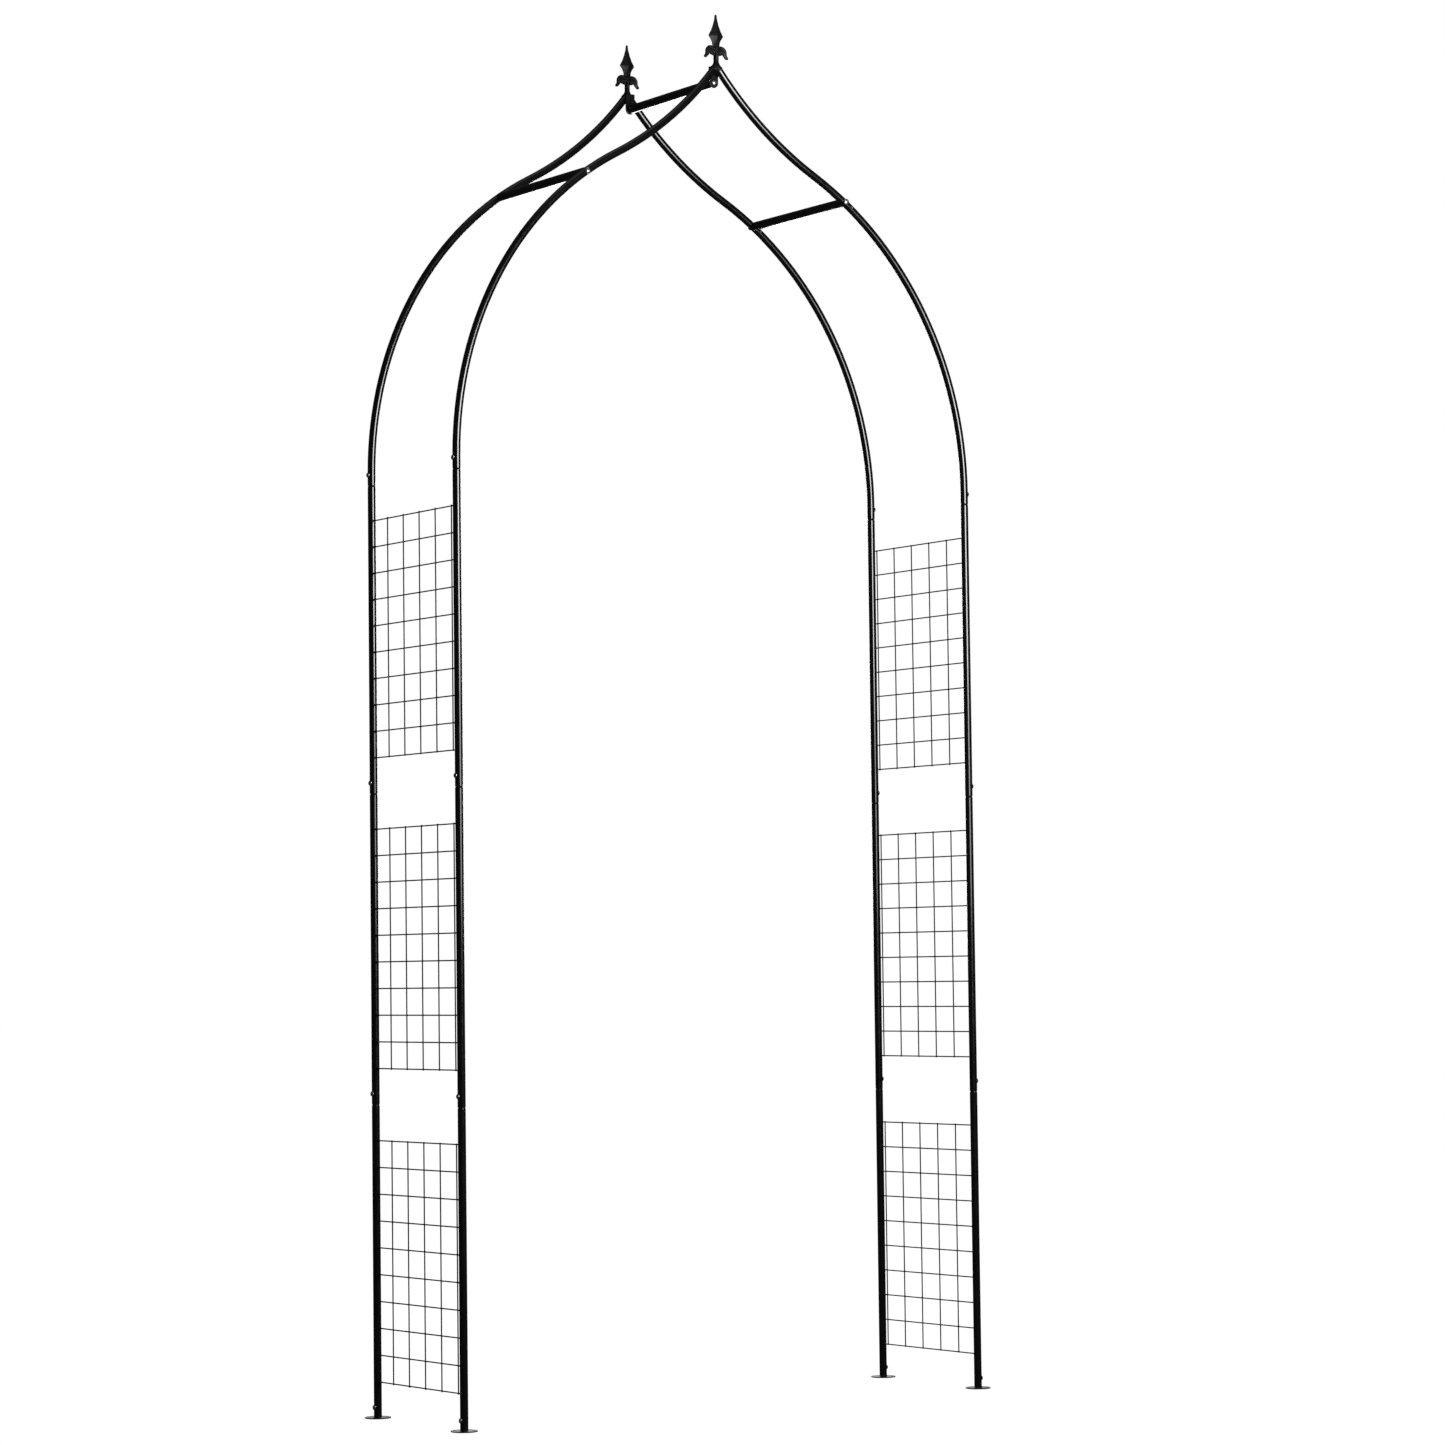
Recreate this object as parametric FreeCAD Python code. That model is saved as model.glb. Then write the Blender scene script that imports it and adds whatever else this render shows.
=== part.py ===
"""Metal trellis arch: two bolted tube frames, six welded mesh panels and three cross bars.

Millimetres, +Z up. The origin is on the ground, in the middle of the four feet. X runs across the
walkway, and Y runs through it, so the front frame is at -Y and the back frame at +Y. Everything is
modelled for the left side, and the right side is the same set of parts turned half a turn about Z.
"""
import FreeCAD, Part
import math
import os

from FreeCAD import Vector

# ---- Overall layout -------------------------------------------------------------------------
leg_span = 1186.0  # between the centres of the left and right legs
frame_gap = 310.0  # between the centre planes of the front and back frames
leg_piece = 585.0  # from one joint line to the next
leg_levels = ("lower", "middle", "upper")

# ---- Tube, swaged neck and joint ------------------------------------------------------------
tube_d = 15.0
tube_wall = 1.0
neck_wall = 1.0
neck_clearance = 0.2  # radial, between a neck and the socket over it
neck_length = 32.0
swage_length = 3.0  # cone from the full tube down to the neck
lip = 0.6  # chamfer on a socket's end

# ---- Curved half of a frame -----------------------------------------------------------------
lead_shortfall = 8.0  # how much shorter the straight lead is than the neck inside it
shoulder_radius = 680.0
shoulder_turn = 62.0  # degrees turned from vertical where the curve reverses
crown_climb = 51.4  # degrees above level at the crown, where the two halves meet

# ---- Cross bars -----------------------------------------------------------------------------
bar_d = 17.0
bar_wall = 1.0
bar_setback = 7.0  # degrees of the shoulder curve left between a bar and the reversal
bar_cope = 3.0  # how far a bar's end reaches round the tube that it seats on
plug_length = 20.0

# ---- Crown fitting, one for each frame ------------------------------------------------------
spigot_length = 26.0  # how far the fitting reaches into each curved tube
collar_step = 0.8  # how far a collar stands out from the tube that seats on it
collar_length = 4.0
collar_gap = 0.3  # from the crown's middle to the lower corner of each collar
knuckle_step = 2.0  # how far the knuckle stands out in front of the tubes
knuckle_drop = 4.0
knuckle_rise = 8.0
post_d = 10.4
post_show = 1.8  # height of post above the crook between the two tubes
stud_d = 6.0
stud_length = 12.0
lug_drop = 31.0  # from the crown's centre down to the bar screw
lug_margin = 1.5  # how far the lug stands out round the end of the crown bar
lug_thickness = 4.0
lug_gap = 0.3  # between the lug and the backs of the curved tubes

# ---- Finial, heights above the top of the post ----------------------------------------------
blade_edge = 1.1  # half the thickness at the blade's edge
blade_stations = (  # height, half width, half thickness on the ridge
    (18.0, 7.0, 5.0),
    (32.0, 8.7, 5.0),
    (45.0, 17.0, 6.5),
    (66.0, 6.8, 4.2),
    (80.0, 3.0, 2.4),
    (87.0, 1.6, 1.6),
)
leaf_profile = (  # four arcs, each from the last point through one point to the next: x, height
    (4.0, 23.0),
    (13.5, 26.0),
    (20.0, 22.0),
    (22.5, 13.0),
    (28.5, 4.0),
    (27.5, 0.5),
    (23.5, 0.0),
    (16.0, 8.5),
    (4.0, 4.0),
)
leaf_thickness = 7.0
leaf_bevel = 0.8
stem_height = 23.0
stud_hole_gap = 1.5

# ---- Screws ---------------------------------------------------------------------------------
joint_screw_d = 4.8
joint_screw_reach = 3.0  # from the leg's centreline to the tip of the screw
joint_screw_point = 2.5
joint_screw_tip_d = 0.6
joint_head_d = 9.5
joint_head_height = 3.0
joint_screw_rise = 20.0  # above a joint line, or above the ground at a foot
bar_screw_d = 6.0
bar_screw_bite = 16.0  # thread inside a bar's end plug
bar_head_d = 12.0
bar_head_height = 3.8
screw_hole_clearance = 0.2  # radial, in the wall under a screw's head
head_side_share = 0.35  # of a head's height, below the dome
dome_share = 0.62  # of the dome's height, reached at the dome's shoulder
dome_shoulder_share = 0.36  # of the head's diameter, from its axis to the dome's shoulder
recess_width = 1.3
recess_share = 0.56  # of the head's diameter
recess_depth = 1.7

# ---- Vent plugs -----------------------------------------------------------------------------
vent_offset = 17.5  # along the curve, below each shoulder bar
vent_hole_d = 4.0
vent_head_d = 5.6
vent_head_height = 1.2
vent_stem_length = 3.0

# ---- Welded mesh ----------------------------------------------------------------------------
wire_d = 2.5
cross_wires = 10
mesh_margin = 67.5  # from a joint line to the nearest cross wire
upright_wires = 5
upright_start = 15.0  # from one tube's centre to the nearest upright wire
upright_end = 63.0  # from the last upright wire to the other tube's centre
upright_overhang = 2.0

# ---- Feet -----------------------------------------------------------------------------------
foot_d = 50.0
foot_thickness = 2.0
foot_rim = 0.6
foot_holes = 4
foot_hole_d = 5.5
foot_hole_inset = 7.0  # from the plate's edge to the centre of a peg hole
spigot_height = 40.0

# ---- Worked out from the sizes above --------------------------------------------------------
tube_r = tube_d / 2
bore_r = tube_r - tube_wall
neck_r = bore_r - neck_clearance
neck_bore_r = neck_r - neck_wall
leg_x = leg_span / 2
frame_y = frame_gap / 2
lead_length = neck_length - lead_shortfall
collar_r = tube_r + collar_step
stub_length = collar_r * math.tan(math.radians(crown_climb)) + collar_gap
post_rise = tube_r / math.cos(math.radians(crown_climb)) + post_show
lug_face = tube_r + lug_gap  # from a frame's centre plane to the near face of its lug
lug_width = bar_d + 2 * lug_margin
joint_screw_length = tube_r + joint_screw_reach
cross_pitch = (leg_piece - 2 * mesh_margin) / (cross_wires - 1)
upright_pitch = (frame_gap - upright_start - upright_end) / (upright_wires - 1)
foot_pcd = foot_d - 2 * foot_hole_inset
arch_base = leg_piece * len(leg_levels)
flatness = 0.01  # how far from flat an edge's box may be and still count as flat
X = Vector(1, 0, 0)
Y = Vector(0, 1, 0)
Z = Vector(0, 0, 1)


def save(name, *solids):
    """Write one node: one solid, or a group of like solids that are separate pieces."""
    shape = solids[0] if len(solids) == 1 else Part.makeCompound(list(solids))
    shape.exportStep(os.path.join("parts", name + ".step"))


def moved(shape, x=0.0, y=0.0, z=0.0):
    """A copy shifted from where it stands."""
    copy = shape.copy()
    copy.translate(Vector(x, y, z))
    return copy


def half_turn(shape):
    """A copy turned half a turn about the arch's own Z axis."""
    copy = shape.copy()
    copy.rotate(Vector(0, 0, 0), Z, 180)
    return copy


def save_pair(side_name, *solids):
    """Write a left-hand piece and the same piece turned round to serve on the right.

    The half turn also swaps front and back.
    """
    save("left_" + side_name, *solids)
    swap = {"front": "back", "back": "front"}
    words = [swap.get(word, word) for word in side_name.split("_")]
    save("right_" + "_".join(words), *[half_turn(solid) for solid in solids])


def rod(radius, start, end):
    """A round bar between two points."""
    along = end.sub(start)
    return Part.makeCylinder(radius, along.Length, start, along)


def turned(outline):
    """A solid turned about Z from a closed outline of (radius, height) points."""
    points = [Vector(radius, 0, height) for radius, height in outline]
    face = Part.Face(Part.makePolygon(points + points[:1]))
    return face.revolve(Vector(0, 0, 0), Z, 360)


# ---- Straight leg tubes ---------------------------------------------------------------------


def leg_tube(bottom, top):
    """A leg tube on the Z axis: an open socket below and a swaged neck above."""
    neck_top = top + neck_length
    body_top = top - swage_length
    outline = [
        (bore_r, bottom),
        (tube_r - lip, bottom),
        (tube_r, bottom + lip),
        (tube_r, body_top),
        (neck_r, top),
        (neck_r, neck_top),
        (neck_bore_r, neck_top),
        (neck_bore_r, top),
        (bore_r, body_top),
    ]
    return turned(outline)


def joint_hole(radius, height):
    """Cutter for a screw hole in the outer wall, which faces -X, at a given height."""
    return rod(radius, Vector(-tube_d, 0, height), Vector(0, 0, height))


def make_leg(level):
    """One leg tube on the Z axis, with the holes for the screws at both of its ends."""
    joint = level * leg_piece
    bottom = joint if level else foot_thickness
    top = joint + leg_piece
    tube = leg_tube(bottom, top)
    under_head = joint_screw_d / 2 + screw_hole_clearance
    tube = tube.cut(joint_hole(under_head, joint + joint_screw_rise))
    return tube.cut(joint_hole(joint_screw_d / 2, top + joint_screw_rise))


# ---- Curved half of a frame -----------------------------------------------------------------


class Curve:
    """Centreline of the left curved tube, in the plane of its frame, seen as (x, z)."""

    spring_x = -leg_x
    spring_z = arch_base + lead_length
    turn = math.radians(shoulder_turn)
    shoulder_centre = Vector(spring_x + shoulder_radius, 0, spring_z)
    reverse_x = spring_x + shoulder_radius * (1 - math.cos(turn))
    reverse_z = spring_z + shoulder_radius * math.sin(turn)
    reverse_slope = math.pi / 2 - turn
    crown_slope = math.radians(crown_climb)
    crown_radius = -reverse_x / (math.sin(crown_slope) - math.sin(reverse_slope))
    crown_z = reverse_z + crown_radius * (math.cos(reverse_slope) - math.cos(crown_slope))
    crown_centre = Vector(
        -crown_radius * math.sin(crown_slope), 0, crown_z + crown_radius * math.cos(crown_slope)
    )
    stub_angle = stub_length / crown_radius  # from the crown's middle to the end of a tube


def shoulder_point(angle):
    """Point on the shoulder curve, at an angle in radians from where it leaves the vertical."""
    out = Vector(-math.cos(angle), 0, math.sin(angle))
    return Curve.shoulder_centre + out * shoulder_radius


def crown_point(slope):
    """Point on the reversed curve where the tube climbs at the given slope, in radians."""
    out = Vector(math.sin(slope), 0, -math.cos(slope))
    return Curve.crown_centre + out * Curve.crown_radius


def ring_face(centre, along, outer, inner):
    """Flat face across a tube, or across a solid bar when the inner radius is nothing."""
    face = Part.Face(Part.Wire(Part.makeCircle(outer, centre, along)))
    if inner:
        face = face.cut(Part.Face(Part.Wire(Part.makeCircle(inner, centre, along))))
    return face


def bend(face, centre, turn, way):
    """Carry a face round a centre in the frame's plane, through an angle in radians."""
    return face.revolve(centre, Y * way, math.degrees(turn))


def shoulder_bend(outer, inner):
    """Tube or bar along the whole shoulder curve."""
    face = ring_face(shoulder_point(0), Z, outer, inner)
    return bend(face, Curve.shoulder_centre, Curve.turn, 1)


def crown_bend(outer, inner, low, high):
    """Tube or bar along the reversed curve, between two slopes in radians."""
    along = Vector(math.cos(low), 0, math.sin(low))
    face = ring_face(crown_point(low), along, outer, inner)
    return bend(face, Curve.crown_centre, high - low, -1)


def curved_tube():
    """The left curved tube with its socket below, standing in the plane y = 0."""
    foot = Vector(Curve.spring_x, 0, arch_base)
    lead = Part.makeCylinder(tube_r, lead_length, foot, Z)
    lead = lead.makeChamfer(lip, [edge for edge in lead.Edges if at_height(edge, arch_base)])
    lead = lead.cut(Part.makeCylinder(bore_r, lead_length, foot, Z))
    high = Curve.crown_slope - Curve.stub_angle
    upper = crown_bend(tube_r, bore_r, Curve.reverse_slope, high)
    return lead.fuse([shoulder_bend(tube_r, bore_r), upper])


def curved_envelope():
    """The same curve as a solid bar, for cutting the seat of whatever meets the tube."""
    upper = crown_bend(tube_r, 0, Curve.reverse_slope, Curve.crown_slope)
    return shoulder_bend(tube_r, 0).fuse(upper)


def at_height(edge, height):
    """True for a round edge that lies flat at a height."""
    box = edge.BoundBox
    flat = abs(box.ZMin - height) < flatness and abs(box.ZMax - height) < flatness
    return flat and len(edge.Vertexes) == 1


def bar_place():
    """Where a shoulder bar crosses the left curved tube's centreline."""
    return shoulder_point(math.radians(shoulder_turn - bar_setback))


def vent_place():
    """Where the vent hole sits on the centreline, a little below the shoulder bar."""
    below_bar = vent_offset / shoulder_radius
    return shoulder_point(math.radians(shoulder_turn - bar_setback) - below_bar)


def make_curved_tube():
    """The left curved tube with its screw holes and its vent hole, in the plane y = 0."""
    socket = Vector(Curve.spring_x, 0, 0)
    under_joint_head = joint_screw_d / 2 + screw_hole_clearance
    under_bar_head = bar_screw_d / 2 + screw_hole_clearance
    joint_cut = joint_hole(under_joint_head, arch_base + joint_screw_rise)
    joint_cut.translate(socket)
    bar_cut = rod(under_bar_head, bar_place() - Y * tube_d, bar_place() + Y * tube_d)
    vent_cut = rod(vent_hole_d / 2, vent_place(), vent_place() + Y * tube_d)
    return curved_tube().cut([joint_cut, bar_cut, vent_cut])


# ---- Crown fitting and finial ---------------------------------------------------------------


def crown_arm():
    """One arm of the fitting: a full-size stub, a collar, and a spigot inside the curved tube."""
    high = Curve.crown_slope
    seat = high - Curve.stub_angle
    stub = crown_bend(tube_r, 0, seat, high)
    collar = crown_bend(collar_r, 0, seat, seat + collar_length / Curve.crown_radius)
    spigot = crown_bend(neck_r, 0, seat - spigot_length / Curve.crown_radius, seat)
    return [stub, collar, spigot]


def lug(centre):
    """Rounded tab that hangs behind the tubes and carries the end of the crown bar."""
    half = lug_width / 2
    low = centre + Vector(0, lug_face, -lug_drop)
    tab = Part.makeCylinder(half, lug_thickness, low, Y)
    tab = tab.fuse(Part.makeBox(lug_width, lug_thickness, lug_drop, low - X * half))
    hole_r = bar_screw_d / 2 + screw_hole_clearance
    return tab.cut(rod(hole_r, low, low + Y * lug_thickness))


def make_crown_fitting():
    """Forged fitting that joins the two curved tubes and carries the finial and the crown bar."""
    centre = Vector(0, 0, Curve.crown_z)
    arms = crown_arm() + [half_turn(piece) for piece in crown_arm()]
    knuckle_foot = centre - Z * knuckle_drop
    rise = knuckle_drop + knuckle_rise
    knuckle = Part.makeCone(tube_r + knuckle_step, post_d / 2, rise, knuckle_foot, Z)
    post = rod(post_d / 2, centre, centre + Z * post_rise)
    stud = rod(stud_d / 2, centre + Z * post_rise, centre + Z * (post_rise + stud_length))
    return knuckle.fuse(arms + [post, stud, lug(centre)])


def blade():
    """Faceted spearhead with a ridge down each face, from the neck up to a blunt tip."""
    sections = []
    for height, half_width, ridge in blade_stations:
        corners = [
            Vector(half_width, blade_edge, height),
            Vector(0, ridge, height),
            Vector(-half_width, blade_edge, height),
            Vector(-half_width, -blade_edge, height),
            Vector(0, -ridge, height),
            Vector(half_width, -blade_edge, height),
        ]
        sections.append(Part.makePolygon(corners + corners[:1]))
    return Part.makeLoft(sections, True, True)


def leaf():
    """Side leaf on +X: it springs from the stem, arches over and curls out to a low tip."""
    points = [Vector(x, 0, height) for x, height in leaf_profile]
    arcs = zip(points[0::2], points[1::2], points[2::2])
    edges = [Part.Arc(start, middle, end).toShape() for start, middle, end in arcs]
    root = Part.makeLine(points[-1], points[0])
    face = Part.Face(Part.Wire(edges + [root]))
    face.translate(Y * (-leaf_thickness / 2))
    solid = face.extrude(Y * leaf_thickness)
    across = [edge for edge in solid.Edges if edge.BoundBox.YLength < flatness]
    return solid.makeChamfer(leaf_bevel, across)


def make_finial():
    """Cast spear finial: blade, two side leaves and a stem with a blind tapped hole."""
    leaf_right = leaf()
    leaf_left = half_turn(leaf_right)
    foot = Vector(0, 0, 0)
    stem = rod(post_d / 2, foot, Z * stem_height)
    body = blade().fuse([stem, leaf_right, leaf_left])
    hole = rod(stud_d / 2, foot, Z * (stud_length + stud_hole_gap))
    return moved(body.cut(hole), z=Curve.crown_z + post_rise)


# ---- Screws, plugs and bars -----------------------------------------------------------------


def pan_head(diameter, height):
    """Domed head on z = 0, with a cross recess in its top."""
    side = height * head_side_share
    edge = Vector(diameter / 2, 0, side)
    crest = Vector(0, 0, height)
    shoulder_rise = (height - side) * dome_share
    shoulder = Vector(diameter * dome_shoulder_share, 0, side + shoulder_rise)
    outline = [
        Part.makeLine(Vector(0, 0, 0), Vector(diameter / 2, 0, 0)),
        Part.makeLine(Vector(diameter / 2, 0, 0), edge),
        Part.Arc(edge, shoulder, crest).toShape(),
        Part.makeLine(crest, Vector(0, 0, 0)),
    ]
    head = Part.Face(Part.Wire(outline)).revolve(Vector(0, 0, 0), Z, 360)
    length = diameter * recess_share
    floor = height - recess_depth
    slot = Part.makeBox(length, recess_width, height, Vector(-length / 2, -recess_width / 2, floor))
    cross = slot.copy()
    cross.rotate(Vector(0, 0, 0), Z, 90)
    return head.cut([slot, cross])


def joint_screw():
    """Self-tapping screw: the underside of its head is on z = 0 and its point is below."""
    radius = joint_screw_d / 2
    body = joint_screw_length - joint_screw_point
    shank = Part.makeCylinder(radius, body, Vector(0, 0, -body), Z)
    tip = Vector(0, 0, -joint_screw_length)
    point = Part.makeCone(joint_screw_tip_d / 2, radius, joint_screw_point, tip, Z)
    return pan_head(joint_head_d, joint_head_height).fuse([shank, point])


def bar_screw(grip):
    """Machine screw for a bar's end, with the underside of its head on z = 0."""
    length = grip + bar_screw_bite
    shank = Part.makeCylinder(bar_screw_d / 2, length, Vector(0, 0, -length), Z)
    return pan_head(bar_head_d, bar_head_height).fuse(shank)


def vent_plug():
    """Push-in button that closes a vent hole, with the underside of its head on z = 0."""
    head = Part.makeCone(vent_head_d / 2, vent_hole_d / 2, vent_head_height, Vector(0, 0, 0), Z)
    stem = Part.makeCylinder(vent_hole_d / 2, vent_stem_length, Z * -vent_stem_length, Z)
    return head.fuse(stem)


def pointed(shape, place, out):
    """A copy of a screw or plug with its head facing along a direction, seated at a place."""
    turn = FreeCAD.Rotation(Z, out)
    copy = shape.copy()
    copy.Placement = FreeCAD.Placement(place, turn)
    return copy


def hollow_bar(start, end):
    """A cross bar's tube and its two end plugs, between two points on a line along Y."""
    outer = rod(bar_d / 2, start, end)
    inner_r = bar_d / 2 - bar_wall
    tube = outer.cut(rod(inner_r, start, end))
    plugs = [
        rod(inner_r, start, start + Y * plug_length),
        rod(inner_r, end - Y * plug_length, end),
    ]
    tapped = rod(bar_screw_d / 2, start - Y * tube_d, end + Y * tube_d)
    return tube, [plug.cut(tapped) for plug in plugs]


def shoulder_bar():
    """The left shoulder bar and its plugs, coped to sit on the two curved tubes."""
    reach = frame_y - tube_r + bar_cope
    place = bar_place()
    tube, plugs = hollow_bar(place - Y * reach, place + Y * reach)
    seats = [moved(curved_envelope(), y=way * frame_y) for way in (-1, 1)]
    return tube.cut(seats), [plug.cut(seats) for plug in plugs]


def crown_bar():
    """The bar under the crown and its plugs, square-ended between the two lugs."""
    reach = frame_y - lug_face - lug_thickness
    place = Z * (Curve.crown_z - lug_drop)
    return hollow_bar(place - Y * reach, place + Y * reach)


# ---- Welded mesh ----------------------------------------------------------------------------


def mesh_base(level):
    """Height of the lowest cross wire in the panel at one level."""
    return level * leg_piece + mesh_margin


def make_cross_wires(level):
    """Level wires, each butted to the front tube and to the back tube."""
    tubes = [
        Part.makeCylinder(tube_r, arch_base, Vector(-leg_x, way * frame_y, 0), Z) for way in (-1, 1)
    ]
    wires = []
    for row in range(cross_wires):
        height = mesh_base(level) + row * cross_pitch
        wire = rod(wire_d / 2, Vector(-leg_x, -frame_y, height), Vector(-leg_x, frame_y, height))
        wires.append(wire.cut(tubes))
    return wires


def make_upright_wires(level):
    """Upright wires, spot-welded to the outer side of the cross wires."""
    low = mesh_base(level) - upright_overhang
    high = mesh_base(level) + (cross_wires - 1) * cross_pitch + upright_overhang
    x = -leg_x - wire_d
    wires = []
    for column in range(upright_wires):
        y = -frame_y + upright_start + column * upright_pitch
        wires.append(rod(wire_d / 2, Vector(x, y, low), Vector(x, y, high)))
    return wires


# ---- Feet -----------------------------------------------------------------------------------


def make_foot_plate():
    """Round ground plate on the Z axis, with peg holes on a circle and a rolled rim."""
    outline = [
        (0, 0),
        (foot_d / 2 - foot_rim, 0),
        (foot_d / 2, foot_rim),
        (foot_d / 2, foot_thickness - foot_rim),
        (foot_d / 2 - foot_rim, foot_thickness),
        (0, foot_thickness),
    ]
    plate = turned(outline)
    for hole in range(foot_holes):
        angle = 2 * math.pi * (hole + 0.5) / foot_holes
        place = Vector(math.cos(angle), math.sin(angle), 0) * (foot_pcd / 2)
        plate = plate.cut(rod(foot_hole_d / 2, place, place + Z * foot_thickness))
    return plate


def make_foot_spigot():
    """Short tube welded upright on a ground plate, inside the lowest leg tube."""
    base = Z * foot_thickness
    spigot = rod(neck_r, base, base + Z * spigot_height)
    spigot = spigot.cut(rod(neck_bore_r, base, base + Z * spigot_height))
    return spigot.cut(joint_hole(joint_screw_d / 2, joint_screw_rise))


# ---- Assembly -------------------------------------------------------------------------------


def save_legs():
    """Leg tubes, feet and the screws that pin them."""
    for frame, way in (("front", -1), ("back", 1)):
        for level, level_name in enumerate(leg_levels):
            leg = moved(make_leg(level), -leg_x, way * frame_y)
            save_pair(f"{frame}_{level_name}_leg", leg)
        save_pair(f"{frame}_foot_plate", moved(make_foot_plate(), -leg_x, way * frame_y))
        save_pair(f"{frame}_foot_spigot", moved(make_foot_spigot(), -leg_x, way * frame_y))


def seated_joint_screws(joint):
    """The four screws at one joint level, with their heads on the outer sides of the legs."""
    height = joint * leg_piece + joint_screw_rise
    screws = []
    for way in (-1, 1):
        place = Vector(-leg_x - tube_r, way * frame_y, height)
        screw = pointed(joint_screw(), place, X * -1)
        screws += [screw, half_turn(screw)]
    return screws


def save_joint_screws():
    """Foot screws, then the screws at the three joint levels above them."""
    save("foot_screws", *seated_joint_screws(0))
    upper = [screw for joint in (1, 2, 3) for screw in seated_joint_screws(joint)]
    save("leg_joint_screws", *upper)


def save_curved_tubes():
    """The four curved tubes and their vent plugs."""
    plugs = []
    for frame, way in (("front", -1), ("back", 1)):
        save_pair(f"{frame}_curved_tube", moved(make_curved_tube(), y=way * frame_y))
        seat = vent_place() + Y * (way * frame_y + tube_r)
        plug = pointed(vent_plug(), seat, Y)
        plugs += [plug, half_turn(plug)]
    save("vent_plugs", *plugs)


def save_crown():
    """Crown fittings and finials, the front ones and the same turned round at the back."""
    fitting = moved(make_crown_fitting(), y=-frame_y)
    finial = moved(make_finial(), y=-frame_y)
    save("front_crown_fitting", fitting)
    save("back_crown_fitting", half_turn(fitting))
    save("front_finial", finial)
    save("back_finial", half_turn(finial))


def save_bars():
    """The three cross bars, their end plugs and their screws."""
    bar, plugs = shoulder_bar()
    top_bar, top_plugs = crown_bar()
    save_pair("shoulder_bar", bar)
    save("crown_bar", top_bar)
    save("bar_end_plugs", *plugs, *[half_turn(plug) for plug in plugs], *top_plugs)
    shoulder_screw = bar_screw(tube_d)
    seats = [bar_place() + Y * (way * (frame_y + tube_r)) for way in (-1, 1)]
    left = [pointed(shoulder_screw, seat, Y * way) for seat, way in zip(seats, (-1, 1))]
    save("shoulder_bar_screws", *left, *[half_turn(screw) for screw in left])
    seat = Vector(0, -frame_y + lug_face, Curve.crown_z - lug_drop)
    front = pointed(bar_screw(lug_thickness), seat, Y * -1)
    save("crown_bar_screws", front, half_turn(front))


def save_mesh():
    """The six mesh panels, each a set of cross wires and a set of upright wires."""
    for level, level_name in enumerate(leg_levels):
        save_pair(f"{level_name}_cross_wires", *make_cross_wires(level))
        save_pair(f"{level_name}_upright_wires", *make_upright_wires(level))


os.makedirs("parts", exist_ok=True)
save_legs()
save_joint_screws()
save_curved_tubes()
save_crown()
save_bars()
save_mesh()
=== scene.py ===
import math
import random

import bmesh
import bpy
from mathutils import Matrix, Vector, noise


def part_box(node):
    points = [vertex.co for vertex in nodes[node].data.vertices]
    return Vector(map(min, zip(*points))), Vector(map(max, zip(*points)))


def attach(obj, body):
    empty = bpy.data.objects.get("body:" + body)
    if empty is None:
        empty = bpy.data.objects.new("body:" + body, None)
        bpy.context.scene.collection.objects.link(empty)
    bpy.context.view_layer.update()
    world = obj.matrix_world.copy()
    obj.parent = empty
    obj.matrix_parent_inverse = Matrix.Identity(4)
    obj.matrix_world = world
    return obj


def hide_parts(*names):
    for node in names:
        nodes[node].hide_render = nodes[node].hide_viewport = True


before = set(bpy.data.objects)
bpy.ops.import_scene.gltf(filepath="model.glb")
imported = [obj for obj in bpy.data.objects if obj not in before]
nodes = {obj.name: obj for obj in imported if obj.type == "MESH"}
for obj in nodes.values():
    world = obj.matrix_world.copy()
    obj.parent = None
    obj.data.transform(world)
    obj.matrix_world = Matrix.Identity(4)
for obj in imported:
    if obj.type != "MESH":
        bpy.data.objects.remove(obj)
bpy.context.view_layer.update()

scene = bpy.context.scene

# ---- Ground plates --------------------------------------------------------------------------
# Round plates that stop the legs sinking and take the ground pegs. Each is 2 mm steel, stamped
# out, welded to a short spigot that stands inside the leg, and powder coated satin black.


def wire_up(tree, source, target):
    """Join an output socket to an input socket."""
    tree.links.new(source, target)


def rippled_noise(tree, place, per_metre, detail, roughness=0.5):
    """Noise in the object's own metres, with so many ripples to the metre."""
    texture = tree.nodes.new("ShaderNodeTexNoise")
    texture.inputs["Scale"].default_value = per_metre
    texture.inputs["Detail"].default_value = detail
    texture.inputs["Roughness"].default_value = roughness
    wire_up(tree, place, texture.inputs["Vector"])
    return texture.outputs["Fac"]


def spread(tree, value, low, high):
    """Stretch a 0 to 1 pattern so that its middle part runs between two values."""
    pattern_low, pattern_high = 0.32, 0.68
    ramp = tree.nodes.new("ShaderNodeMapRange")
    ramp.inputs["From Min"].default_value = pattern_low
    ramp.inputs["From Max"].default_value = pattern_high
    ramp.inputs["To Min"].default_value = low
    ramp.inputs["To Max"].default_value = high
    wire_up(tree, value, ramp.inputs["Value"])
    return ramp.outputs["Result"]


def shade_between(tree, value, dark, pale):
    """Colour that runs from dark to pale as the pattern rises."""
    mix = tree.nodes.new("ShaderNodeMix")
    mix.data_type = "RGBA"
    colours = [socket for socket in mix.inputs if socket.type == "RGBA"]
    colours[0].default_value = (*dark, 1)
    colours[1].default_value = (*pale, 1)
    wire_up(tree, value, mix.inputs[0])
    return [socket for socket in mix.outputs if socket.type == "RGBA"][0]


def raised(tree, height, depth, strength, under=None):
    """Fine relief from a pattern, laid over another relief where there is one."""
    bump = tree.nodes.new("ShaderNodeBump")
    bump.inputs["Distance"].default_value = depth
    bump.inputs["Strength"].default_value = strength
    wire_up(tree, height, bump.inputs["Height"])
    if under:
        wire_up(tree, under, bump.inputs["Normal"])
    return bump.outputs["Normal"]


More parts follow.
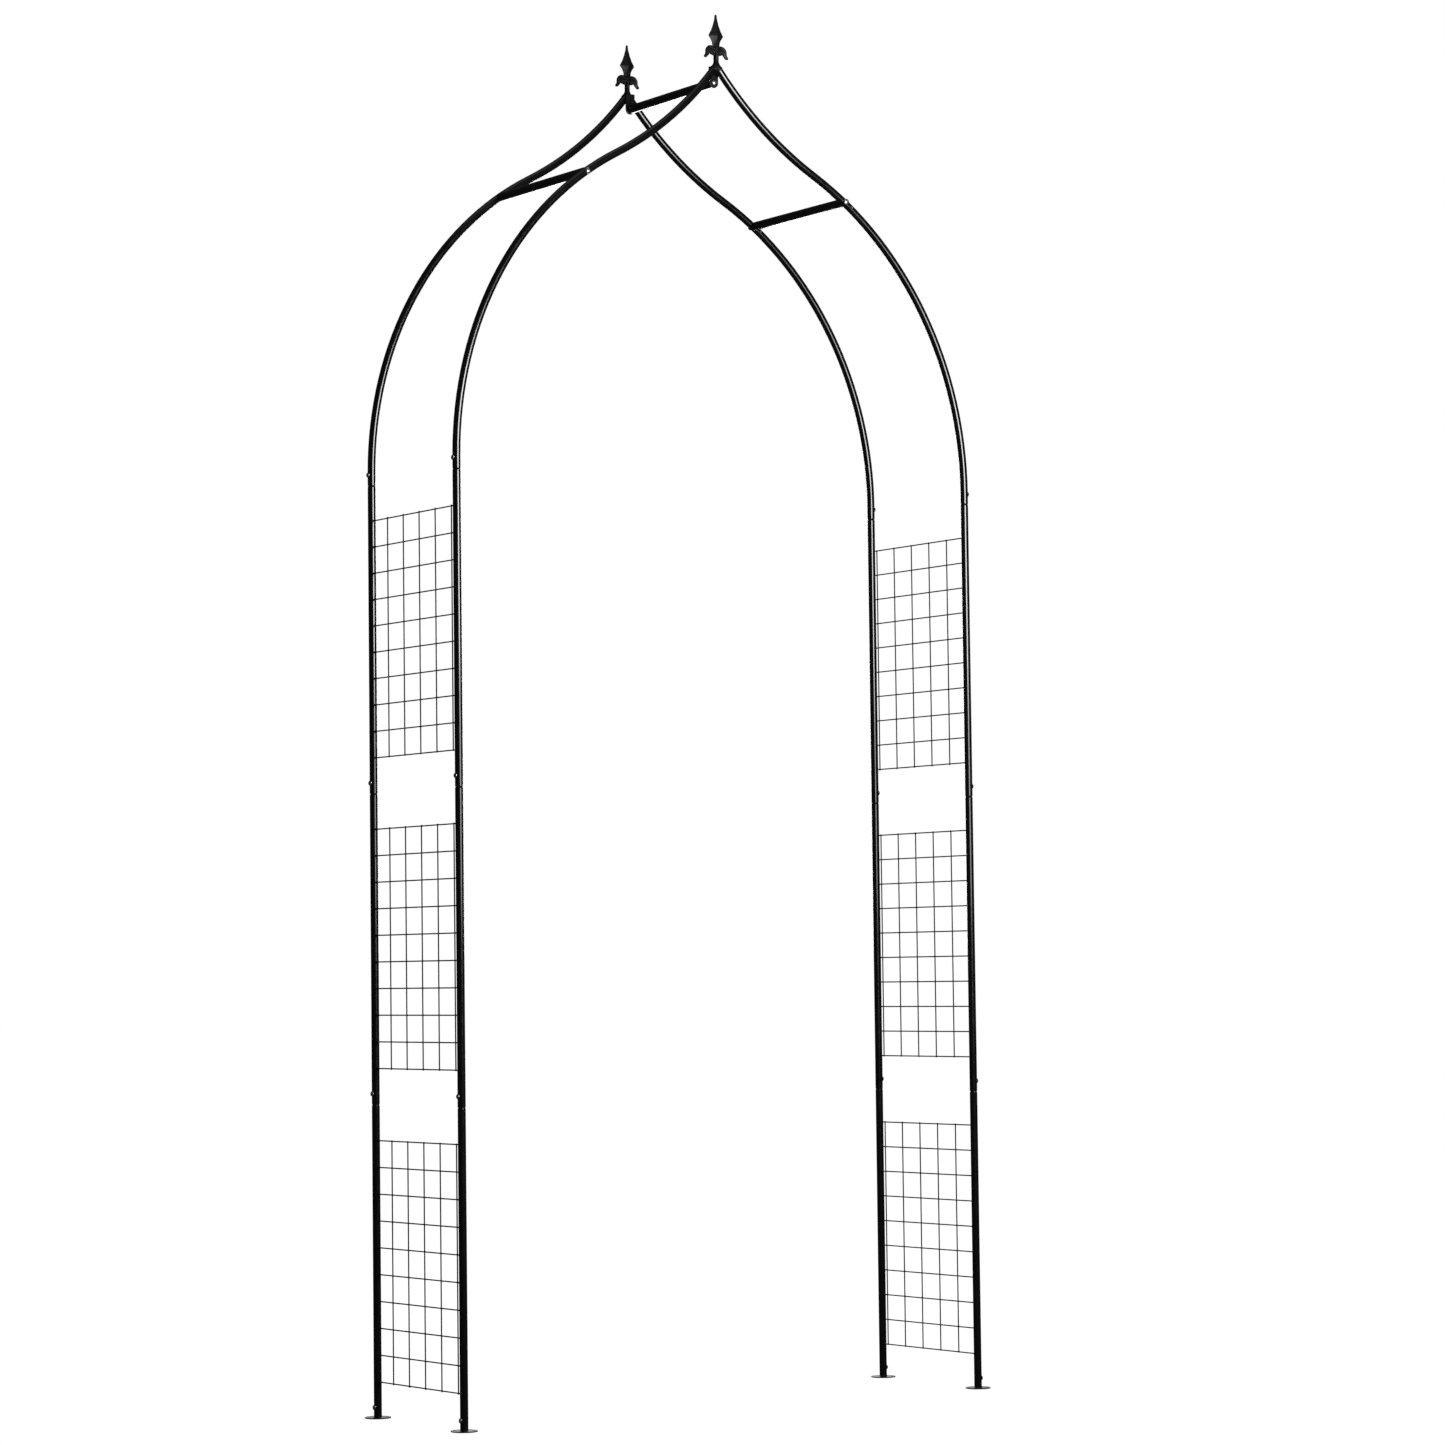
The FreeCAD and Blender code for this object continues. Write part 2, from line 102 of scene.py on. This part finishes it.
def powder_coat(name, dark, pale, gloss, peel, coat, shine):
    """Baked black powder: uneven gloss, a faint mottle, orange peel and a few specks of dust."""
    peel_depth = 0.000015
    speck_depth = 0.000003
    material = bpy.data.materials.new(name)
    material.use_nodes = True
    tree = material.node_tree
    shader = tree.nodes["Principled BSDF"]
    place = tree.nodes.new("ShaderNodeTexCoord").outputs["Object"]
    mottle = rippled_noise(tree, place, per_metre=28, detail=4)
    cloud = rippled_noise(tree, place, per_metre=90, detail=3)
    orange_peel = rippled_noise(tree, place, per_metre=520, detail=2)
    specks = rippled_noise(tree, place, per_metre=2400, detail=1)
    colour = shade_between(tree, spread(tree, mottle, 0, 1), dark, pale)
    wire_up(tree, colour, shader.inputs["Base Color"])
    wire_up(tree, spread(tree, cloud, *gloss), shader.inputs["Roughness"])
    skin = raised(tree, orange_peel, peel_depth, peel)
    wire_up(tree, raised(tree, specks, speck_depth, peel, skin), shader.inputs["Normal"])
    shader.inputs["Specular IOR Level"].default_value = shine
    shader.inputs["Coat Weight"].default_value = coat
    shader.inputs["Coat Roughness"].default_value = 0.10
    return material


def coat_node(name, material):
    """Give a CAD node its finish."""
    slots = nodes[name].data.materials
    slots.clear()
    slots.append(material)


satin_black = powder_coat(
    "satin_black",
    dark=(0.005, 0.005, 0.005),
    pale=(0.009, 0.008, 0.008),
    gloss=(0.30, 0.42),
    peel=0.5,
    coat=0.2,
    shine=0.42,
)
corners = [(side, frame_name) for side in ("left", "right") for frame_name in ("front", "back")]
for side, frame_name in corners:
    coat_node(f"{side}_{frame_name}_foot_plate", satin_black)
    coat_node(f"{side}_{frame_name}_foot_spigot", satin_black)

# ---- Leg tubes ------------------------------------------------------------------------------
# Each leg is three lengths of 15 mm steel tube. The top of each length is swaged down to a neck
# that plugs into the length above, and all of them are powder coated glossy black.

gloss_black = powder_coat(
    "gloss_black",
    dark=(0.002, 0.002, 0.0025),
    pale=(0.004, 0.004, 0.0045),
    gloss=(0.16, 0.24),
    peel=0.35,
    coat=0.5,
    shine=0.42,
)
levels = ("lower", "middle", "upper")
for side, frame_name in corners:
    for level in levels:
        coat_node(f"{side}_{frame_name}_{level}_leg", gloss_black)

# ---- Joint and foot screws ------------------------------------------------------------------
# Domed self-tapping screws with a cross recess, one through each socket into the neck inside it.
# They are steel with bright zinc plate.


def zinc_plate():
    """Bright zinc: pale, slightly blue metal with fine turning marks and a few dull patches."""
    material = bpy.data.materials.new("zinc_plate")
    material.use_nodes = True
    tree = material.node_tree
    shader = tree.nodes["Principled BSDF"]
    place = tree.nodes.new("ShaderNodeTexCoord").outputs["Object"]
    dull_zinc, bright_zinc = (0.56, 0.57, 0.59), (0.82, 0.82, 0.80)
    dull_gloss, bright_gloss = 0.36, 0.20
    patches = rippled_noise(tree, place, per_metre=500, detail=3)
    grain = rippled_noise(tree, place, per_metre=5200, detail=2)
    colour = shade_between(tree, spread(tree, patches, 0, 1), dull_zinc, bright_zinc)
    wire_up(tree, colour, shader.inputs["Base Color"])
    wire_up(tree, spread(tree, patches, dull_gloss, bright_gloss), shader.inputs["Roughness"])
    wire_up(tree, raised(tree, grain, depth=0.00001, strength=0.5), shader.inputs["Normal"])
    shader.inputs["Metallic"].default_value = 1.0
    return material


zinc = zinc_plate()
for screw_node in ("leg_joint_screws", "foot_screws"):
    coat_node(screw_node, zinc)

# ---- Welded mesh panels ---------------------------------------------------------------------
# Six ladders of 2.5 mm steel wire, each with ten cross wires and five uprights. The uprights are
# spot-welded over the cross wires, and the cross wires' ends are tacked to the leg tubes.

black_wire = powder_coat(
    "black_wire",
    dark=(0.003, 0.003, 0.003),
    pale=(0.007, 0.006, 0.005),
    gloss=(0.36, 0.52),
    peel=0.6,
    coat=0.0,
    shine=0.22,
)
weld_skin = powder_coat(
    "weld_skin",
    dark=(0.003, 0.003, 0.003),
    pale=(0.008, 0.007, 0.006),
    gloss=(0.38, 0.54),
    peel=1.0,
    coat=0.0,
    shine=0.22,
)
cross_wire_count = 10
upright_count = 5
nugget_across = 0.0016
nugget_deep = 0.0010
tack_radius = 0.0023
tack_reach = 0.0018
chance = random.Random(11)


def add_lump(mesh, centre, radii, uneven):
    """One small weld: a squashed ball with its own slightly uneven surface."""
    waves = 1.4
    furthest_pattern = 50
    ball = bmesh.ops.create_icosphere(mesh, subdivisions=2, radius=1.0)
    shift = Vector((chance.random(), chance.random(), chance.random())) * furthest_pattern
    for vert in ball["verts"]:
        swell = 1 + uneven * noise.noise(vert.co * waves + shift)
        vert.co = Vector(r * c * swell for r, c in zip(radii, vert.co)) + centre


def wire_middles(node, axis, count):
    """Where the wires of one node stand along an axis, evenly from its first to its last."""
    low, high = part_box(node)
    radius = (high.x - low.x) / 2
    first, last = low[axis] + radius, high[axis] - radius
    return [first + (last - first) * index / (count - 1) for index in range(count)]


def finished_piece(name, mesh, material):
    """Turn built geometry into a piece that stands still with the arch."""
    data = bpy.data.meshes.new(name)
    bmesh.ops.recalc_face_normals(mesh, faces=mesh.faces)
    mesh.to_mesh(data)
    mesh.free()
    data.polygons.foreach_set("use_smooth", [True] * len(data.polygons))
    data.materials.append(material)
    piece = bpy.data.objects.new(name, data)
    scene.collection.objects.link(piece)
    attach(piece, "root")
    return piece


def panel_welds(side, level):
    """The spot welds and end tacks of one panel."""
    across, upright = f"{side}_{level}_cross_wires", f"{side}_{level}_upright_wires"
    heights = wire_middles(across, 2, cross_wire_count)
    places = wire_middles(upright, 1, upright_count)
    cross_low, cross_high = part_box(across)
    upright_low, upright_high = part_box(upright)
    seam = (cross_low.x + upright_high.x) / 2 if side == "left" else (cross_high.x + upright_low.x) / 2
    wire_x = (cross_low.x + cross_high.x) / 2
    mesh = bmesh.new()
    for height in heights:
        for place in places:
            nugget = (nugget_deep, nugget_across, nugget_across)
            add_lump(mesh, Vector((seam, place, height)), nugget, uneven=0.25)
        for end in (cross_low.y, cross_high.y):
            tack = (tack_radius, tack_reach, tack_radius)
            add_lump(mesh, Vector((wire_x, end, height)), tack, uneven=0.35)
    return finished_piece(f"{side}_{level}_panel_welds", mesh, weld_skin)


for side in ("left", "right"):
    for level in levels:
        coat_node(f"{side}_{level}_cross_wires", black_wire)
        coat_node(f"{side}_{level}_upright_wires", black_wire)
        panel_welds(side, level)

# ---- Curved tubes and vent plugs ------------------------------------------------------------
# Four bent tubes carry each frame from its legs up through the reversed curve to the crown. A
# zinc push-in button closes the vent hole that lets the tube drain while it is coated.

for side, frame_name in corners:
    coat_node(f"{side}_{frame_name}_curved_tube", gloss_black)
coat_node("vent_plugs", zinc)

# ---- Crown fittings -------------------------------------------------------------------------
# Cast iron knuckles that join the two curved tubes of a frame. Spigots fill the tubes' ends, a
# lug behind takes the crown bar, and a post above takes the finial. They are coated over the
# rough casting skin, so their corners are soft.


def cast_skin():
    """Coated casting: grainy skin, soft pits with painted shade, a painted highlight on sharp corners.
    """
    material = bpy.data.materials.new("cast_skin")
    material.use_nodes = True
    tree = material.node_tree
    shader = tree.nodes["Principled BSDF"]
    place = tree.nodes.new("ShaderNodeTexCoord").outputs["Object"]
    # The pits share the bump's pattern and are coloured darker where it sinks them: painted shade.
    painted_pit_shade, skin_black = (0.003, 0.003, 0.003), (0.006, 0.006, 0.006)
    # Paler colour laid on sharp convex corners: a painted highlight.
    painted_corner_highlight = (0.018, 0.017, 0.016, 1)
    pits = rippled_noise(tree, place, per_metre=420, detail=5, roughness=0.62)
    grain = rippled_noise(tree, place, per_metre=1900, detail=3)
    corner_highlight_and_gloss_mask = tree.nodes.new("ShaderNodeAttribute")
    corner_highlight_and_gloss_mask.attribute_name = "corner"
    black = shade_between(tree, spread(tree, pits, 0, 1), painted_pit_shade, skin_black)
    mix = tree.nodes.new("ShaderNodeMix")
    mix.data_type = "RGBA"
    colours = [socket for socket in mix.inputs if socket.type == "RGBA"]
    wire_up(tree, corner_highlight_and_gloss_mask.outputs["Fac"], mix.inputs[0])
    wire_up(tree, black, colours[0])
    colours[1].default_value = painted_corner_highlight
    black_with_painted_highlight = [socket for socket in mix.outputs if socket.type == "RGBA"][0]
    wire_up(tree, black_with_painted_highlight, shader.inputs["Base Color"])
    wire_up(tree, spread(tree, pits, low=0.32, high=0.56), shader.inputs["Roughness"])
    hollows = raised(tree, pits, depth=0.0005, strength=0.55)
    skin = raised(tree, grain, depth=0.00008, strength=0.5, under=hollows)
    wire_up(tree, skin, shader.inputs["Normal"])
    shader.inputs["Specular IOR Level"].default_value = 0.2
    wire_up(tree, corner_highlight_and_gloss_mask.outputs["Fac"], shader.inputs["Coat Weight"])
    shader.inputs["Coat Roughness"].default_value = 0.14
    return material


casting = cast_skin()
sand_grain = 0.00009  # how far the sand mould's grain moves the skin
sand_waves = 420  # waves of that grain to the metre
corner_gain = 2.4  # how soon a corner counts as sharp


def recast(piece, voxel, passes):
    """Run a piece's separate solids together as one skin, then soften its corners."""
    remesh = piece.modifiers.new("one_skin", "REMESH")
    remesh.mode = "VOXEL"
    remesh.voxel_size = voxel
    soften = piece.modifiers.new("soft_corners", "SMOOTH")
    soften.factor = 0.5
    soften.iterations = passes
    bpy.context.view_layer.update()
    shape = piece.evaluated_get(bpy.context.evaluated_depsgraph_get())
    skin = bpy.data.meshes.new_from_object(shape)
    piece.modifiers.clear()
    piece.data = skin
    return skin


def grain_and_corners(skin, seed):
    """Push the skin in and out like sand-cast iron, and mark how sharp each corner is."""
    mesh = bmesh.new()
    mesh.from_mesh(skin)
    mesh.normal_update()
    sharpness = []
    for vert in mesh.verts:
        around = [edge.other_vert(vert).co for edge in vert.link_edges]
        middle = sum(around, Vector()) / len(around)
        reach = (around[0] - vert.co).length
        sharpness.append(max(0.0, vert.normal.dot(vert.co - middle) / reach))
    for vert in mesh.verts:
        rough = noise.fractal(vert.co * sand_waves + Vector((seed, 0, 0)), 1.0, 2.0, 3)
        vert.co += vert.normal * rough * sand_grain
    mesh.to_mesh(skin)
    mesh.free()
    # The corner mark paints a highlight on the castings' sharp corners and gives them a clear coat.
    mark = skin.attributes.new("corner", "FLOAT", "POINT")
    mark.data.foreach_set("value", [min(1.0, sharp * corner_gain) for sharp in sharpness])
    skin.polygons.foreach_set("use_smooth", [True] * len(skin.polygons))


for seed, frame_name in enumerate(("front", "back")):
    node = f"{frame_name}_crown_fitting"
    piece = bpy.data.objects.new(f"{frame_name}_crown_casting", nodes[node].data.copy())
    scene.collection.objects.link(piece)
    skin = recast(piece, voxel=0.0005, passes=3)
    grain_and_corners(skin, seed)
    skin.materials.clear()
    skin.materials.append(casting)
    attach(piece, "root")
    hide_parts(node)

# ---- Finials --------------------------------------------------------------------------------
# Cast iron spearheads screwed down on the crown fittings' posts. Each has a ridged blade over a
# short neck, two side leaves that arch over and curl out, and a raised V where they cross.

blade_profile = (  # height above the post, half width, half thickness on the ridge, in mm
    (16.0, 6.4, 4.8),
    (26.0, 8.0, 5.0),
    (32.0, 8.7, 5.1),
    (38.0, 11.6, 5.7),
    (43.0, 15.6, 6.4),
    (45.0, 16.8, 6.5),
    (47.0, 16.0, 6.3),
    (55.0, 11.2, 5.3),
    (66.0, 6.6, 4.1),
    (76.0, 3.6, 2.9),
    (80.0, 2.7, 2.3),
    (82.0, 2.3, 2.1),
    (86.0, 2.0, 2.0),
    (87.0, 1.0, 1.0),
)
leaf_spine = (  # across, height above the post, half width, half thickness, in mm
    (0.5, 13.0, 7.4, 3.3),
    (5.0, 14.6, 8.4, 3.4),
    (9.5, 16.6, 9.3, 3.7),
    (14.2, 17.2, 8.9, 3.9),
    (17.8, 15.4, 7.5, 3.8),
    (19.8, 11.8, 5.5, 3.4),
    (21.4, 8.0, 4.1, 3.0),
    (23.2, 5.4, 3.5, 3.0),
    (25.0, 4.0, 3.3, 3.0),
    (27.0, 3.4, 2.4, 2.4),
)
rim_groove = (0.42, 0.28, 0.24)  # depth, place across the leaf and width, as shares of its half width
heel_groove = (0.26, -0.42, 0.2)
mm = 0.001


def join_rings(mesh, rings):
    """Skin a row of equal rings of points, and close both ends."""
    rows = [[mesh.verts.new(point) for point in ring] for ring in rings]
    for lower, upper in zip(rows, rows[1:]):
        for index, corner in enumerate(lower):
            after = (index + 1) % len(lower)
            mesh.faces.new((corner, lower[after], upper[after], upper[index]))
    mesh.faces.new(rows[0][::-1])
    mesh.faces.new(rows[-1])


def blade_ring(height, half_width, ridge):
    """Ridged section of the blade, slightly hollow between the ridge and the edge."""
    hollow = 1.25
    edge = min(1.0, ridge * 0.5)
    steps = [1 - index / 6 for index in range(13)]
    faces = [(edge + (ridge - edge) * (1 - abs(step)) ** hollow) for step in steps]
    front = [Vector((half_width * step, -y, height)) for step, y in zip(steps, faces)]
    back = [Vector((-point.x, -point.y, height)) for point in front]
    return front + back


def groove(u, shape):
    """How deep a groove is at a place across the leaf."""
    depth, place, width = shape
    return depth * math.exp(-(((u - place) / width) ** 2))


def leaf_ring(spine, index, side):
    """Section across a leaf: a full outer rim, a groove inside it and a thinner inner edge."""
    thinnest = 0.05
    before, after = spine[max(index - 1, 0)], spine[min(index + 1, len(spine) - 1)]
    along = Vector((after[0] - before[0], 0, after[1] - before[1])).normalized()
    outward = Vector((-along.z, 0, along.x))
    across, height, half_width, thickness = spine[index]
    ring = []
    for face in (-1, 1):
        for step in range(12):
            u = (1 - step / 6) * -face
            body = math.sqrt(max(0.0, 1 - abs(u) ** 3))
            share = body - groove(u, rim_groove) - groove(u, heel_groove)
            y = face * thickness * max(thinnest, share)
            point = Vector((across, y, height)) + outward * (half_width * u)
            ring.append(Vector((point.x * side, point.y, point.z)))
    return ring


def eased(a, b, c, d, t):
    """Value at t between b and c, on a smooth curve that also heeds a and d."""
    rise = (c - a) * t
    bend = (2 * a - 5 * b + 4 * c - d) * t ** 2
    twist = (3 * b - a - 3 * c + d) * t ** 3
    return 0.5 * (2 * b + rise + bend + twist)


def refined(stations, parts):
    """Put evenly eased stations between the given ones, on a smooth curve through them."""
    rows = []
    last = len(stations) - 1
    for index in range(last):
        p0, p1 = stations[max(index - 1, 0)], stations[index]
        p2, p3 = stations[index + 1], stations[min(index + 2, last)]
        for part in range(parts):
            rows.append(tuple(eased(a, b, c, d, part / parts) for a, b, c, d in zip(p0, p1, p2, p3)))
    return rows + [stations[last]]


def add_bar(mesh, start, end, start_radius, end_radius, sides=14):
    """Round tapered bar with rounded ends, between two points."""
    cap_reach, cap_share = 0.8, 0.5
    along = (end - start).normalized()
    turn = along.to_track_quat("Z", "Y").to_matrix()
    length = (end - start).length
    stations = [
        (-cap_reach * start_radius, cap_share * start_radius),
        (0, start_radius),
        (length, end_radius),
        (length + cap_reach * end_radius, cap_share * end_radius),
    ]
    rings = []
    circle = [2 * math.pi * index / sides for index in range(sides)]
    for reach, radius in stations:
        ring = [Vector((radius * math.cos(angle), radius * math.sin(angle), reach)) for angle in circle]
        rings.append([start + turn @ point for point in ring])
    join_rings(mesh, rings)


def upright_bar(mesh, foot, head, foot_radius, head_radius, sides):
    """Bar on the finial's own axis, between two heights."""
    add_bar(mesh, Vector((0, 0, foot)), Vector((0, 0, head)), foot_radius, head_radius, sides)


def build_finial():
    """The finial's separate shapes, in mm, standing on the top of the post."""
    mesh = bmesh.new()
    join_rings(mesh, [blade_ring(*station) for station in blade_profile])
    spine = refined(leaf_spine, 3)
    for side in (-1, 1):
        join_rings(mesh, [leaf_ring(spine, index, side) for index in range(len(spine))])
        for face in (-1, 1):
            outer = Vector((side * 8.2, face * 3.6, 21.0))
            inner = Vector((0.0, face * 4.7, 9.6))
            add_bar(mesh, outer, inner, start_radius=1.4, end_radius=1.8)
        curl, tip = Vector((side * 24.0, 0, 4.3)), Vector((side * 25.4, 0, 3.9))
        add_bar(mesh, curl, tip, start_radius=3.3, end_radius=3.2, sides=20)
    upright_bar(mesh, foot=3.4, head=22.0, foot_radius=5.25, head_radius=5.25, sides=28)
    upright_bar(mesh, foot=0.7, head=1.6, foot_radius=5.5, head_radius=5.5, sides=28)
    upright_bar(mesh, foot=83.2, head=84.6, foot_radius=2.6, head_radius=2.5, sides=20)
    for face in (-1, 1):
        ridge_foot, ridge_head = Vector((0, face * 4.6, 24.0)), Vector((0, face * 5.6, 44.0))
        add_bar(mesh, ridge_foot, ridge_head, start_radius=1.1, end_radius=0.9)
    return mesh


for seed, frame_name in enumerate(("front", "back")):
    node = f"{frame_name}_finial"
    low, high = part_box(node)
    stand = Vector(((low.x + high.x) / 2, (low.y + high.y) / 2, low.z))
    mesh = build_finial()
    bmesh.ops.scale(mesh, vec=(mm, mm, mm), verts=mesh.verts)
    bmesh.ops.translate(mesh, vec=stand, verts=mesh.verts)
    piece = finished_piece(f"{frame_name}_spear_finial", mesh, casting)
    skin = recast(piece, voxel=0.00045, passes=2)
    grain_and_corners(skin, 10 + seed)
    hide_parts(node)

# ---- Cross bars -----------------------------------------------------------------------------
# Two shoulder bars and the crown bar hold the two frames apart. Each is 17 mm tube with a tapped
# plug pressed into each end for a zinc cross-head machine screw.

for bar in ("left_shoulder_bar", "right_shoulder_bar", "crown_bar"):
    coat_node(bar, gloss_black)
coat_node("bar_end_plugs", satin_black)
for screw_node in ("shoulder_bar_screws", "crown_bar_screws"):
    coat_node(screw_node, zinc)

# ---- Floor ----------------------------------------------------------------------------------
# A plain pale studio floor, wide enough to run out of sight on every side.

floor_reach = 70.0
floor_sides = 96
mesh = bmesh.new()
bmesh.ops.create_circle(mesh, cap_ends=True, radius=floor_reach, segments=floor_sides)
floor_data = bpy.data.meshes.new("studio_floor")
mesh.to_mesh(floor_data)
mesh.free()
floor = bpy.data.objects.new("studio_floor", floor_data)
scene.collection.objects.link(floor)
pale_floor = bpy.data.materials.new("pale_floor")
pale_floor.use_nodes = True
tree = pale_floor.node_tree
shader = tree.nodes["Principled BSDF"]
place = tree.nodes.new("ShaderNodeTexCoord").outputs["Object"]
soft_patches = spread(tree, rippled_noise(tree, place, per_metre=0.7, detail=3), 0, 1)
floor_dark, floor_pale = (0.030, 0.030, 0.030), (0.036, 0.036, 0.036)
wire_up(tree, shade_between(tree, soft_patches, floor_dark, floor_pale), shader.inputs["Base Color"])
shader.inputs["Roughness"].default_value = 0.9
shader.inputs["Specular IOR Level"].default_value = 0.1
shader.inputs["Emission Color"].default_value = (1.0, 1.0, 1.0, 1)
shader.inputs["Emission Strength"].default_value = 1.0
floor_data.materials.append(pale_floor)
floor.visible_glossy = False
floor.visible_diffuse = False

# ---- Light ----------------------------------------------------------------------------------
# A soft box high in front gives the long streaks on the upper tubes, and a weaker one below it
# those on the middle legs. Others hang overhead and behind, in front of an even white backdrop.


def soft_box(name, place, aim, width, height, glow):
    """Rectangular soft light at a place, turned to face a point, as bright all over as its glow."""
    light = bpy.data.lights.new(name, "AREA")
    light.shape = "RECTANGLE"
    light.size = width
    light.size_y = height
    light.energy = glow * math.pi * width * height
    box = bpy.data.objects.new(name, light)
    scene.collection.objects.link(box)
    box.location = place
    box.rotation_mode = "QUATERNION"
    box.rotation_quaternion = (Vector(aim) - Vector(place)).to_track_quat("-Z", "Y")
    box.visible_camera = False


for soft_light in (  # name, place, aim, width, height, glow
    ("front_box", (0.1, -2.8, 2.15), (0.1, 0.0, 2.15), 1.4, 1.1, 18),
    ("lower_front_box", (0.1, -2.8, 1.3), (0.1, 0.0, 1.3), 1.4, 0.6, 6),
    ("top_box", (0.3, -0.6, 5.6), (0.0, 0.0, 0.0), 3.0, 3.0, 0.3),
    ("back_box", (2.3, 3.4, 1.6), (0.0, 0.0, 1.6), 0.9, 1.4, 7),
    ("low_back_box", (3.2, 4.6, 0.5), (0.0, 0.0, 0.3), 3.0, 0.9, 0.9),
):
    soft_box(*soft_light)

dim_room = 0.03  # what the gloss reflects between the boxes
white_backdrop = 1.0
surroundings = bpy.data.worlds.new("white_surroundings")
surroundings.use_nodes = True
scene.world = surroundings
tree = surroundings.node_tree
seen = tree.nodes.new("ShaderNodeMapRange")
seen.inputs["To Min"].default_value = dim_room
seen.inputs["To Max"].default_value = white_backdrop
wire_up(tree, tree.nodes.new("ShaderNodeLightPath").outputs["Is Camera Ray"], seen.inputs["Value"])
backdrop = tree.nodes["Background"]
backdrop.inputs["Color"].default_value = (1.0, 1.0, 1.0, 1)
wire_up(tree, seen.outputs["Result"], backdrop.inputs["Strength"])
scene.view_settings.view_transform = "Standard"

# ---- Camera ---------------------------------------------------------------------------------
# A long lens, from the front left and low down, turned slightly up.

camera_place = Vector((-4.537, -6.639, 0.814))
camera_turn = math.radians(34.96)  # to the right of looking straight through the walkway
camera_climb = math.radians(3.53)
camera_tilt = math.radians(-0.69)
camera_lens = 103.3

camera_data = bpy.data.cameras.new("camera")
camera_data.lens = camera_lens
camera_data.sensor_width = 36.0
camera_data.clip_start = 0.05
camera_data.clip_end = 300.0
camera = bpy.data.objects.new("camera", camera_data)
scene.collection.objects.link(camera)
aim = Matrix.Rotation(-camera_turn, 4, "Z") @ Matrix.Rotation(math.pi / 2 + camera_climb, 4, "X")
camera.matrix_world = Matrix.Translation(camera_place) @ aim @ Matrix.Rotation(camera_tilt, 4, "Z")
scene.camera = camera
